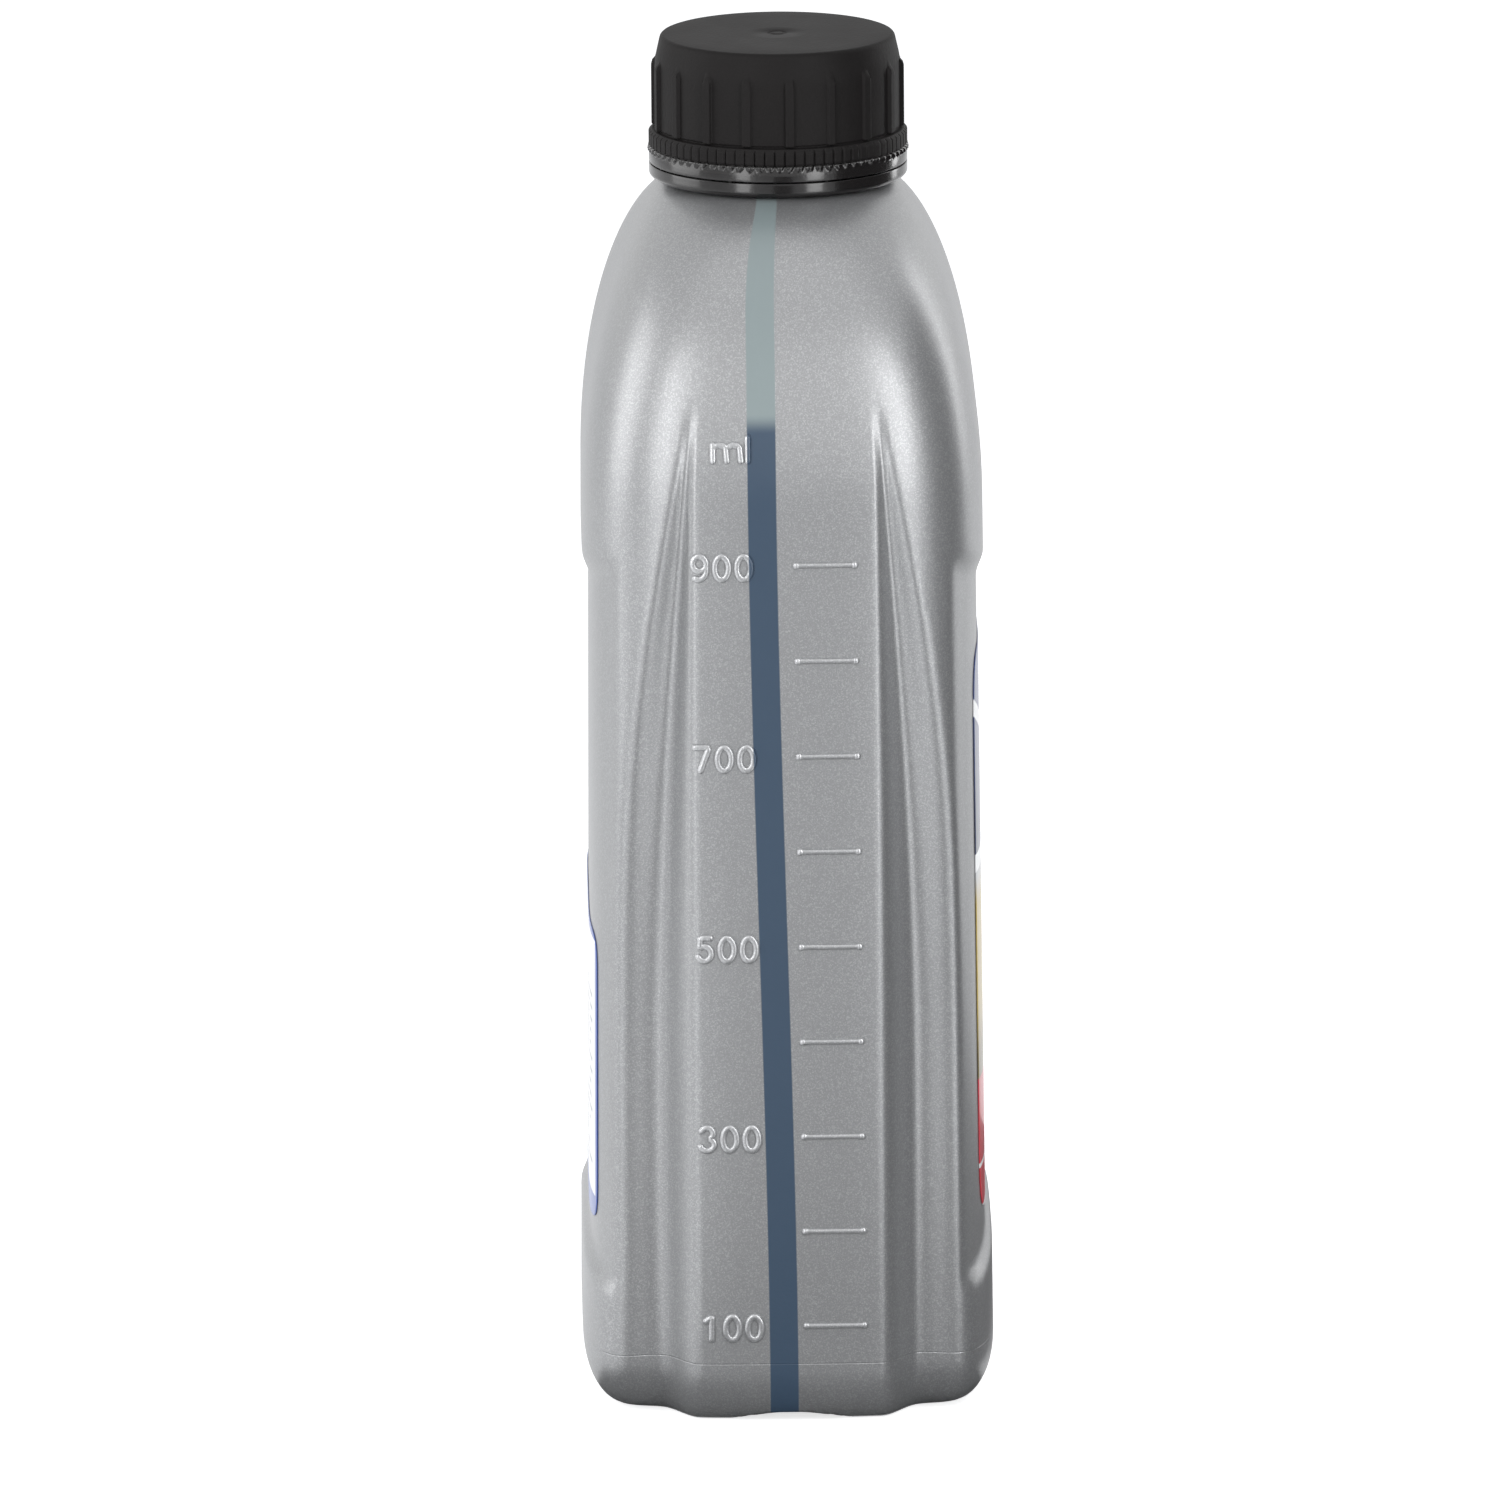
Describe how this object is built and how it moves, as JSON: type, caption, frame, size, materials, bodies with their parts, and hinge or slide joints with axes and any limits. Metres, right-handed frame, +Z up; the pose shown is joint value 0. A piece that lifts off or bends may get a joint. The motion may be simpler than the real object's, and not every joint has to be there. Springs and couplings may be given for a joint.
{
  "type": "motor oil bottle",
  "caption": "Slim oval bottle for motor oil with a ribbed screw cap, tamper ring, clear level strip, raised volume scale and two labels.",
  "frame": {"origin": "middle of the base, on the surface that the bottle stands on", "axes": "+Z up along the neck; the front label faces -Y and the narrow side with the level strip and the scale faces -X"},
  "size_m": [0.1085, 0.0696, 0.2279],
  "materials": {
    "bottle": "satin silver-grey polyethylene with metal flake",
    "oil": "clear amber liquid",
    "cap": "satin black polypropylene",
    "liner": "white foam",
    "ring": "glossy black polypropylene",
    "front_label": "printed film, fields of colour",
    "back_label": "printed film, fields of colour"
  },
  "bodies": {
    "bottle": {"bottle": "bottle", "oil_fill": "oil", "tamper_ring": "ring", "front_label": "front_label", "back_label": "back_label"},
    "cap_seal": {"cap_liner": "liner"},
    "cap": {"screw_cap": "cap"}
  },
  "joints": [
    {"name": "cap_lift", "type": "slide", "parent": "bottle", "child": "cap_seal", "axis": [0, 0, 1], "range_m": [0, 0.0212]},
    {"name": "cap_turn", "type": "hinge", "parent": "cap_seal", "child": "cap", "pos_m": [0, 0, 0.2172], "axis": [0, 0, 1], "range_deg": [0, 1800]}
  ],
  "couplings": [
    {"joint": "cap_lift", "follows": "cap_turn", "m_per_rad": 0.00066845}
  ]
}
